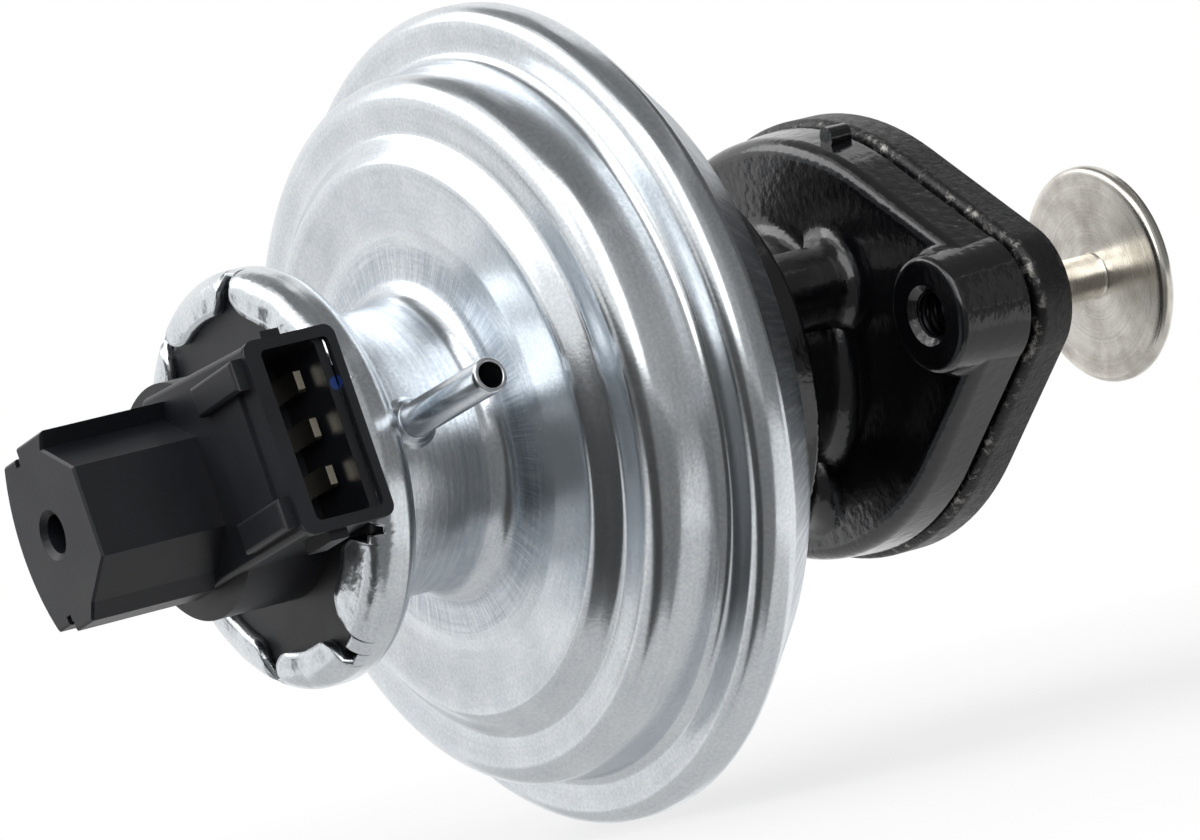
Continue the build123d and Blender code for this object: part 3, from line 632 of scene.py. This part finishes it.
def black_plastic():
    """Glass filled nylon, injection moulded, with an inspector's dot of blue paint in the socket.

    The eye sees near black with a bluish cast, a fine spark-eroded grain and grey flow marks.
    """
    finish = settings("egr_finish")
    material, tree, shader = new_material("Glass filled nylon, moulded")
    place = node(tree, "TexCoord", (), "Object")
    flow = noise(tree, place, 9, 3)
    # The spark-eroded grain is drawn at 0.2 mm; the real one is finer
    grain = noise(tree, place, 0.2, 2, 0.6)
    flow_shade = ramp(tree, flow, 0.3, 0.75, 0.0, 0.5)
    grain_shade = ramp(tree, grain, 0.35, 0.65, 0.0, 0.5)
    shade = node(tree, "Math", (flow_shade, grain_shade), operation="ADD")
    dark, light = rgba(finish.plastic_dark), rgba(finish.plastic_light)
    tint = node(tree, "Mix", {0: shade, 6: dark, 7: light}, 2, data_type="RGBA")
    # The dot is 1.4 mm across with a soft edge
    away = node(tree, "VectorMath", (place, PAINT_DOT), "Value", operation="DISTANCE")
    dot = ramp(tree, away, 0.6 * MM, 0.8 * MM, 1.0, 0.0)
    tint = node(tree, "Mix", {0: dot, 6: tint, 7: linear("1B3878")}, 2, data_type="RGBA")
    rough = ramp(tree, flow, 0.3, 0.7, 0.38, 0.48)
    skin = bump(tree, grain, 0.02, 0.7)
    show(tree, shader, Base_Color=tint, Roughness=rough, Normal=skin)
    return material


def quiet_finish(name):
    """A finish for inner and small parts, from QUIET_FINISHES, where each says what the eye sees.

    One colour is darkened by up to a fifth in clouds 8 grains wide, over a fine grain.
    """
    code, metallic, roughness, grain_mm, grain_height_mm = QUIET_FINISHES[name]
    material, tree, shader = new_material(name, Metallic=metallic)
    place = node(tree, "TexCoord", (), "Object")
    clouds = noise(tree, place, 8 * grain_mm, 3)
    grain = noise(tree, place, grain_mm, 2)
    light = linear(code)
    dark = rgba(v * 0.8 for v in light[:3])
    tint = node(tree, "Mix", {0: clouds, 6: light, 7: dark}, 2, data_type="RGBA")
    low, high = roughness * 0.85, roughness * 1.15
    rough = ramp(tree, clouds, 0.3, 0.7, low, high)
    skin = bump(tree, grain, grain_height_mm, 0.7)
    show(tree, shader, Base_Color=tint, Roughness=rough, Normal=skin)
    return material


def give(item, material):
    """Show one material on a piece."""
    item.data.materials.clear()
    item.data.materials.append(material)
    return item


def stand_for(item, body, slot, *names):
    """A new piece rides on a body and stands for CAD nodes, if any, which it hides; slot is not
    used.
    """
    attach(item, body)
    if names:
        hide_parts(*names)


def cover_corners():
    """(Station, radius) corners of the cover's outer profile, and the bend at each inner one."""
    can = settings("egr_can")
    corners = [
        # The tabs, the cup and the neck
        (-can.tab_face, can.tab_inner),
        (-can.tab_face, can.cup_radius),
        (-can.cup_floor, can.cup_radius),
        (-can.cup_floor, can.tube_radius),
        (-can.dome_root, can.tube_radius),
        # The dome's cone, its step and its side wall
        (-55.6 * MM, 22.35 * MM),
        (-55.9 * MM, 29.2 * MM),
        (-53.6 * MM, 31.7 * MM),
        (-53.6 * MM, can.dome_radius),
        (-45.4 * MM, 38.0 * MM),
        # The rolled rim and the crimped skirt behind it
        (-45.4 * MM, can.rim_radius),
        (-41.4 * MM, can.rim_radius),
        (-34.6 * MM, can.crimp_radius),
    ]
    bends = [v * MM for v in (2.4, 2.2, 1.6, 3.2, 3.0, 1.5, 1.3, 3.0, 1.3, 2.0, 1.5)]
    return corners, bends


def tab_edge(can, turn):
    """Where the sheet begins at each angle, as a distance along the profile from its inner edge.

    Start = trim + notch depth * notch + corner depth * corner * (1 - notch). Notch is 1 within half
    a notch's width of its middle and 0 outside. Corner falls from 1 beside the notch to 0 at the
    corner's reach, as (1 - share of the reach) to the power 2.4. Trim is 0 on the one long tab.
    """
    notch_depth, notch_edge = 4.4 * MM, 0.2 * MM
    corner_depth, corner_reach = 1.7 * MM, 2.6 * MM
    wide_notch, wider = 6, 1.9
    clocks = np.array(can.slot_clocks)[:, None]
    away = np.abs((turn[None] - clocks + np.pi) % (2 * np.pi) - np.pi)
    arc = away.min(axis=0) * (can.cup_radius - 2 * can.sheet)
    half = can.slot_width / 2 * np.where(away.argmin(axis=0) == wide_notch, wider, 1.0)
    notch = np.clip((half - arc) / notch_edge + 0.5, 0, 1)
    corner = np.clip(1 - (arc - half) / corner_reach, 0, 1) ** 2.4
    # The long tab lies between the wide notch and the next one
    past, before = can.slot_clocks[wide_notch], can.slot_clocks[wide_notch + 1]
    long_tab = (turn > past) & (turn < before)
    trim = np.where(long_tab, 0.0, can.tab_trim)
    return trim + notch_depth * notch + corner_depth * corner * (1 - notch)


class EGR_OT_pressed_cover(bpy.types.Operator):
    """Build the pressed cover with its notched and hammered tabs"""

    bl_idname = "egr.pressed_cover"
    bl_label = "Pressed cover"

    def execute(self, context):
        can = settings("egr_can")
        outer = rounded_profile(*cover_corners(), 0.8 * MM)
        inner = offset_profile(outer, can.sheet)
        walk = distance_along(outer)
        segments = 570
        turn = np.linspace(0, 2 * np.pi, segments, endpoint=False)
        # Rows up to the end of the tabs' bend close up behind the notched edge; the others stay
        bend_end = 8.9 * MM
        start = tab_edge(can, turn)[None]
        closed_up = start + walk[:, None] * (bend_end - start) / bend_end
        moved = np.where(walk[:, None] < bend_end, closed_up, walk[:, None])
        # The hidden inner wall keeps every row under the tabs and every third one beyond them
        tab_rows = np.searchsorted(walk, bend_end) + 2
        beyond = np.arange(tab_rows, len(walk), 3)
        inner_rows = np.unique(np.r_[np.arange(tab_rows), beyond, len(walk) - 1])
        station_out, radius_out = (np.interp(moved, walk, values) for values in outer.T)
        station_in, radius_in = (np.interp(moved, walk, values) for values in inner.T)
        # The crimping tool presses dents of up to 0.3 mm into the first 6 mm of the sheet
        blow_depth, blow_reach, share_inside = 0.3 * MM, 6.0 * MM, 0.3
        dents = hammer_marks(len(walk), segments, seed=7, modes=26, lowest=5)
        press = blow_depth * dents * np.clip(1 - walk / blow_reach, 0, 1)[:, None]
        station_out += np.maximum(press, 0)
        station_in += press * share_inside
        stations = np.vstack([station_out, station_in[inner_rows][::-1]])
        radii = np.vstack([radius_out, radius_in[inner_rows][::-1]])
        points = round_stem(stations, radii, turn)
        uv = wrap_uv(np.vstack([outer, inner[inner_rows][::-1]]), segments)
        cover = face_outwards(grid_mesh("pressed_cover", points, True, True, uv))
        give(cover, zinc_plate())
        stand_for(cover, HOUSING, "zinc_sheet", "front_cover")
        return {"FINISHED"}


class EGR_OT_stem(bpy.types.Operator):
    """Build the ground stem with its weld and the round valve plate"""

    bl_idname = "egr.stem"
    bl_label = "Stem and valve plate"

    def execute(self, context):
        sizes = settings("egr_stem")
        low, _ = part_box("stem")
        face = sizes.plate_reach - sizes.plate_thickness
        # The end that carries the nut is turned down behind this shoulder
        shoulder, nut_end_radius = -30.4 * MM, 2.0 * MM
        stem = rounded_profile(
            [
                (low.x, TINY),
                (low.x, nut_end_radius),
                (shoulder, nut_end_radius),
                (shoulder, sizes.stem_radius),
                (face - sizes.weld_length, sizes.stem_radius),
                (face, sizes.weld_radius),
                (face, TINY),
            ],
            [0.3 * MM, TINY, 0.2 * MM, 0.05 * MM, TINY],
            0.5 * MM,
        )
        rod = turned("valve_stem", stem, 96)
        give(rod, stainless("Stainless steel, centreless ground", 0.12))
        stand_for(rod, LIFT, "stainless", "stem")
        plate = rounded_profile(
            [
                (face, TINY),
                (face, sizes.plate_radius),
                (sizes.plate_reach, sizes.plate_radius),
                (sizes.plate_reach, TINY),
            ],
            [0.7 * MM, 0.7 * MM],
            0.4 * MM,
        )
        disc = turned("valve_plate_turned", plate, 256)
        give(disc, stainless("Stainless steel, turned", 0.35))
        stand_for(disc, LIFT, "stainless", "valve_plate")
        return {"FINISHED"}


class EGR_OT_nipple(bpy.types.Operator):
    """Build the vacuum nipple and the braze round its foot"""

    bl_idname = "egr.nipple"
    bl_label = "Vacuum nipple"

    def execute(self, context):
        sizes = settings("egr_nipple")
        can = settings("egr_can")
        # The tube starts inside the neck's wall and ends in a rounded mouth
        wall = math.sqrt((can.tube_radius - can.sheet) ** 2 - sizes.outer**2)
        profile = rounded_profile(
            [
                (wall, sizes.bore),
                (wall, sizes.outer),
                (sizes.reach, sizes.outer),
                (sizes.reach, sizes.bore),
                (wall, sizes.bore),
            ],
            [TINY, 0.18 * MM, 0.12 * MM],
            0.6 * MM,
        )[:-1]
        # The nipple's axis, and the unit vectors round it
        along = np.array([0, -math.cos(sizes.clock), math.sin(sizes.clock)])
        across = np.array([0, math.sin(sizes.clock), math.cos(sizes.clock)])
        ahead = np.array([1.0, 0, 0])
        centre = np.array([-sizes.station, 0, 0])
        segments = 96
        turn = np.linspace(0, 2 * np.pi, segments, endpoint=False)
        ring = np.cos(turn)[:, None] * ahead + np.sin(turn)[:, None] * across
        points = centre + profile[:, None, :1] * along + profile[:, None, 1:] * ring[None]
        uv = wrap_uv(profile, segments)
        tube = face_outwards(grid_mesh("nipple_tube", points, True, True, uv))
        zinc = bpy.data.materials.get("Zinc plated steel, deep drawn") or zinc_plate()
        give(tube, zinc)
        stand_for(tube, HOUSING, "zinc_tube", "vacuum_nipple")
        # The braze: height = 1.3 mm * (1 - reach) to the power 2.6, which sinks into the neck by
        # 0.12 mm at its outer edge, where reach is 1; that edge wobbles by up to 0.15 mm
        reach = np.linspace(0, 1, 18)[:, None]
        wobble = 0.1 * MM * np.cos(2 * turn + 0.7) + 0.05 * MM * np.cos(3 * turn + 2.1)
        radius = sizes.outer + reach * (sizes.braze - sizes.outer + wobble[None])
        height = 1.3 * MM * (1 - reach) ** 2.6 - 0.12 * MM * reach**6
        drop = (radius * np.sin(turn)[None]) ** 2 / (2 * can.tube_radius)
        outwards = can.tube_radius + height - drop
        points = centre + outwards[..., None] * along + radius[..., None] * ring[None]
        foot = grid_mesh("nipple_braze_fillet", points, False, True)
        thick = foot.modifiers.new("wall", "SOLIDIFY")
        thick.thickness = 0.1 * MM
        thick.offset = -1
        give(foot, zinc)
        stand_for(foot, HOUSING, "braze", "nipple_braze")
        return {"FINISHED"}


def thread_points(sizes, low, high, side):
    """A threaded sleeve: outer wall at the core radius, inner wall core - ridge * triangle wave.

    The wave's phase is station / pitch - turn, so its crest winds along the hole. Both walls stay
    a hair inside the hole's own wall.
    """
    row, clear_outside, clear_inside = 0.12 * MM, 0.01 * MM, 0.03 * MM
    turn = np.linspace(0, 2 * np.pi, 96, endpoint=False)[None]
    station = np.linspace(low, high, int((high - low) / row))[:, None]
    phase = station / sizes.pitch - turn / (2 * np.pi)
    crest = 1 - np.abs(2 * (phase % 1) - 1)
    inner = sizes.core - clear_inside - sizes.ridge * crest
    outer = np.full_like(inner, sizes.core - clear_outside)
    radii = np.vstack([inner, outer[::-1]])
    across = side * sizes.spacing / 2 + radii * np.cos(turn)
    stations = np.vstack([station, station[::-1]])
    return np.stack(np.broadcast_arrays(stations, across, radii * np.sin(turn)), axis=-1)


class EGR_OT_casting(bpy.types.Operator):
    """Finish the casting, the flange plate and the gasket"""

    bl_idname = "egr.casting"
    bl_label = "Casting and flange"

    def execute(self, context):
        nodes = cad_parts
        give(nodes["valve_body"], casting_paint())
        give(nodes["base_plate"], stamped_paint())
        give(nodes["base_gasket"], quiet_finish("Graphite fibre, rolled sheet"))
        sizes = settings("egr_bores")
        tapped = quiet_finish("Iron, tapped and painted thinly")
        # The threads end 0.6 mm short of the mounting face
        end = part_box("base_plate")[1].x - 0.6 * MM
        for side, name in ((-1, "bore_thread_near"), (1, "bore_thread_far")):
            sleeve = grid_mesh(name, thread_points(sizes, BORE_MOUTH, end, side), True, True)
            give(face_outwards(sleeve), tapped)
            stand_for(sleeve, HOUSING, "black_casting")
        return {"FINISHED"}


class EGR_OT_sensor(bpy.types.Operator):
    """Finish the sensor's housing and its contact blades"""

    bl_idname = "egr.sensor"
    bl_label = "Position sensor"

    def execute(self, context):
        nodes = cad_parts
        give(nodes["sensor_housing"], black_plastic())
        pins = quiet_finish("Brass, stamped and silver plated")
        for which in (1, 2, 3):
            give(nodes[f"terminal_{which}"], pins)
        return {"FINISHED"}


def coil_points(low, high, radius, wire, turns):
    """A coil spring along X: a circle of the wire carried round a helix whose end turns lie close.

    Station = low + wire / 2 + (length - wire) * (t - 0.6 sin(2 pi t) / 2 pi) for t from 0 to 1.
    In the first and last 400th of its length the wire is drawn in to a tip of a thousandth.
    """
    rings_a_turn, sides, pinch, blunting, tip = 40, 14, 0.6, 400, 0.001
    t = np.linspace(0, 1, int(turns * rings_a_turn))[:, None]
    swing = 2 * np.pi * turns * t
    share = t - pinch * np.sin(2 * np.pi * t) / (2 * np.pi)
    station = low + wire / 2 + (high - low - wire) * share
    round_wire = np.linspace(0, 2 * np.pi, sides, endpoint=False)[None]
    thick = wire / 2 * np.clip(np.minimum(t, 1 - t) * blunting, tip, 1)
    reach = radius + thick * np.cos(round_wire)
    return np.stack(
        [station + thick * np.sin(round_wire), reach * np.cos(swing), reach * np.sin(swing)], axis=-1
    )


class EGR_OT_soft_parts(bpy.types.Operator):
    """Build the two springs and the rolling diaphragm"""

    bl_idname = "egr.soft_parts"
    bl_label = "Springs and diaphragm"

    def execute(self, context):
        sizes = settings("egr_springs")
        wire = quiet_finish("Spring wire, phosphated")
        for which, joint in (("return", "valve_lift"), ("sensor", "sensor_slide")):
            name = which + "_spring"
            low, high = (corner.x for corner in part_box(name))
            shape = (getattr(sizes, f"{which}_{size}") for size in ("coil", "wire", "turns"))
            item = grid_mesh(name + "_coil", coil_points(low, high, *shape), False, True)
            give(face_outwards(item), wire)
            stand_for(item, HOUSING, "spring_steel", name)
            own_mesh(item)
        self.diaphragm(sizes)
        return {"FINISHED"}

    def diaphragm(self, sizes):
        """A rubber sheet turned about the axis: bead, rolling fold and flat centre."""
        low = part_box("diaphragm")[0].x
        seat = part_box("diaphragm_washer")[0].x
        bead_back = low + 2.4 * MM
        hole = 2.3 * MM
        corners = [
            (low, sizes.bead), (bead_back, sizes.bead), (bead_back, sizes.fold_outer),
            (seat, sizes.fold_inner), (seat, hole), (seat - sizes.rubber, hole),
            (seat - sizes.rubber, sizes.fold_inner - sizes.rubber),
            (bead_back - sizes.rubber, sizes.fold_outer - sizes.rubber),
            (bead_back - sizes.rubber, sizes.bead_inner), (low, sizes.bead_inner), (low, sizes.bead),
        ]
        bends = [v * MM for v in (0.3, 0.8, 1.4, 0.01, 0.01, 0.8, 1.4, 0.2, 0.3)]
        profile = rounded_profile(corners, bends, 0.6 * MM)[:-1]
        item = turned("rolling_diaphragm", profile, 192)
        give(item, quiet_finish("Nitrile rubber, moulded"))
        stand_for(item, HOUSING, "diaphragm_rubber", "diaphragm")
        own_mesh(item)


class EGR_OT_inner_parts(bpy.types.Operator):
    """Finish the parts behind and inside the can"""

    bl_idname = "egr.inner_parts"
    bl_label = "Inner parts"

    def execute(self, context):
        for finish, names in INNER_PARTS.items():
            material = quiet_finish(finish)
            for name in names:
                give(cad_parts[name], material)
        return {"FINISHED"}


class EGR_OT_studio(bpy.types.Operator):
    """Set up the pale floor, the backdrop, the softboxes and the camera"""

    bl_idname = "egr.studio"
    bl_label = "Studio"

    def execute(self, context):
        make_world()
        make_floor()
        make_cards()
        make_lamps()
        make_camera()
        return {"FINISHED"}


def make_camera():
    """The camera at the photograph's viewing angle."""
    studio = settings("egr_studio")
    data = bpy.data.cameras.new("camera")
    data.lens = studio.focal
    data.sensor_width = 36.0
    data.clip_start = 0.01
    data.clip_end = 20.0
    item = bpy.data.objects.new("camera", data)
    bpy.context.scene.collection.objects.link(item)
    axes = Matrix((CAMERA_RIGHT, CAMERA_UP, CAMERA_BACK)).transposed()
    place = Vector(LOOK_AT) + Vector(CAMERA_BACK) * studio.distance
    item.matrix_world = Matrix.Translation(place) @ axes.to_4x4()
    bpy.context.scene.camera = item


def seen_directly(tree):
    """1 for camera, glossy and transmission rays, which see the white surroundings."""
    kinds = ("Is Camera Ray", "Is Glossy Ray", "Is Transmission Ray")
    camera, glossy, transmission = (node(tree, "LightPath", (), kind) for kind in kinds)
    first = node(tree, "Math", (camera, glossy), operation="ADD")
    return node(tree, "Math", (first, transmission), operation="ADD", use_clamp=True)


def make_world():
    """White to what sees it directly, and a plain soft light to the rest."""
    world = bpy.data.worlds.new("studio")
    bpy.context.scene.world = world
    world.use_nodes = True
    tree = world.node_tree
    background = tree.nodes["Background"]
    # Strength 1 where it is seen and 0.8 as light
    strength = ramp(tree, seen_directly(tree), 0.0, 1.0, 0.8, 1.0)
    background.inputs["Color"].default_value = (1, 1, 1, 1)
    tree.links.new(strength, background.inputs["Strength"])


def make_floor():
    """A pale floor under the can's rim, which turns white away from the object's soft shadow.

    A flat square grid; the share of plain white grows with the distance from the object. The paint
    is matt and nearly white, so the eye sees only the shadow.
    """
    size, count, gap = 8.0, 24, 0.5 * MM
    low, _ = cad_box
    side = np.linspace(-size / 2, size / 2, count)
    x, y = np.meshgrid(side, side, indexing="ij")
    points = np.stack([x, y, np.full_like(x, low.z - gap)], axis=-1)
    floor = grid_mesh("floor", points)
    material, tree, shader = new_material(
        "Painted studio floor", Roughness=0.9, Base_Color=linear("F4F4F4")
    )
    lit = node(tree, "Emission", {"Color": (1, 1, 1, 1), "Strength": 1.0})
    # From 72% plain white under the object to all white 0.22 m away
    place = node(tree, "TexCoord", (), "Object")
    distance = node(tree, "VectorMath", (place,), "Value", operation="LENGTH")
    white = ramp(tree, distance, 0.03, 0.22, 0.72, 1.0)
    share = node(tree, "Math", (seen_directly(tree), white), operation="MULTIPLY")
    both = node(tree, "MixShader", (share, shader.outputs[0], lit))
    tree.links.new(both, tree.nodes["Material Output"].inputs["Surface"])
    give(floor, material)
    floor.visible_glossy = False
    floor.visible_diffuse = False


def direction(azimuth, elevation):
    """Unit vectors about the camera, in degrees: azimuth 0 points at it and 90 to its right.

    They are (sin azimuth cos elevation, sin elevation, cos azimuth cos elevation) on its axes.
    """
    turn, rise = np.radians(azimuth), np.radians(elevation)
    parts = (np.sin(turn) * np.cos(rise), np.sin(rise), np.cos(turn) * np.cos(rise))
    axes = (CAMERA_RIGHT, CAMERA_UP, CAMERA_BACK)
    return sum(part[..., None] * np.array(axis) for part, axis in zip(parts, axes))


def make_cards():
    """Grey and black cards round the object, as a photographer sets them to shape metal.

    Each is a patch of a sphere round the object: point = centre + distance * direction(azimuth,
    elevation). The camera doesn't see them; the eye sees their even grey in the plating.
    """
    for name, (azimuths, elevations, strength, distance) in CARDS.items():
        across, along = np.linspace(*azimuths, 25), np.linspace(*elevations, 13)
        points = distance * direction(*np.meshgrid(across, along, indexing="ij"))
        card = grid_mesh(name, np.array(LOOK_AT) + points)
        material, tree, shader = new_material("Paper card, " + name)
        tree.nodes.remove(shader)
        lit = node(tree, "Emission", {"Color": (1, 1, 1, 1), "Strength": strength})
        tree.links.new(lit, tree.nodes["Material Output"].inputs["Surface"])
        give(card, material)
        card.visible_camera = False
        card.visible_shadow = False


def add_softbox(name, azimuth, elevation, width, height, power):
    """A rectangular softbox that the camera doesn't see, aimed at the object."""
    data = bpy.data.lights.new(name, "AREA")
    data.shape = "RECTANGLE"
    data.size, data.size_y, data.energy = width, height, power
    item = bpy.data.objects.new(name, data)
    distance = 0.9
    towards = Vector(direction(np.array(azimuth), np.array(elevation)))
    place = Vector(LOOK_AT) + distance * towards
    item.location = place
    item.rotation_mode = "QUATERNION"
    item.rotation_quaternion = (Vector(LOOK_AT) - place).to_track_quat("-Z", "Y")
    item.visible_camera = False
    bpy.context.scene.collection.objects.link(item)


def make_lamps():
    """A wide softbox on the left and a tall one over the camera."""
    studio = settings("egr_studio")
    add_softbox("left softbox", -87, 31, 1.1, 0.5, studio.key)
    add_softbox("tall softbox", -12, 34, 0.5, 1.0, studio.fill)


class EGR_PT_panel(bpy.types.Panel):
    """Sidebar panel that lists the pieces and their sizes"""

    bl_idname = "EGR_PT_panel"
    bl_label = "EGR valve"
    bl_space_type = "VIEW_3D"
    bl_region_type = "UI"
    bl_category = "EGR valve"

    def draw(self, context):
        for operator in OPERATORS:
            self.layout.operator(operator.bl_idname)
        for name, group in GROUPS.items():
            box = self.layout.box()
            box.label(text=group.__doc__)
            for key in group.__annotations__:
                box.prop(getattr(context.scene, name), key)


OPERATORS = (
    EGR_OT_studio,
    EGR_OT_pressed_cover,
    EGR_OT_nipple,
    EGR_OT_casting,
    EGR_OT_stem,
    EGR_OT_sensor,
    EGR_OT_soft_parts,
    EGR_OT_inner_parts,
)
CLASSES = (*GROUPS.values(), *OPERATORS, EGR_PT_panel)


def register():
    """Add the groups, the operators and the panel, and give the scene its sizes."""
    for item in CLASSES:
        bpy.utils.register_class(item)
    for name, group in GROUPS.items():
        setattr(bpy.types.Scene, name, PointerProperty(type=group))


def unregister():
    """Take away what register added."""
    for name in GROUPS:
        delattr(bpy.types.Scene, name)
    for item in reversed(CLASSES):
        bpy.utils.unregister_class(item)


def main():
    """Register the groups and panel, set the view transform and build every piece."""
    register()
    bpy.context.scene.view_settings.view_transform = "Standard"
    for operator in OPERATORS:
        group, name = operator.bl_idname.split(".")
        getattr(getattr(bpy.ops, group), name)()


if __name__ == "__main__":
    main()
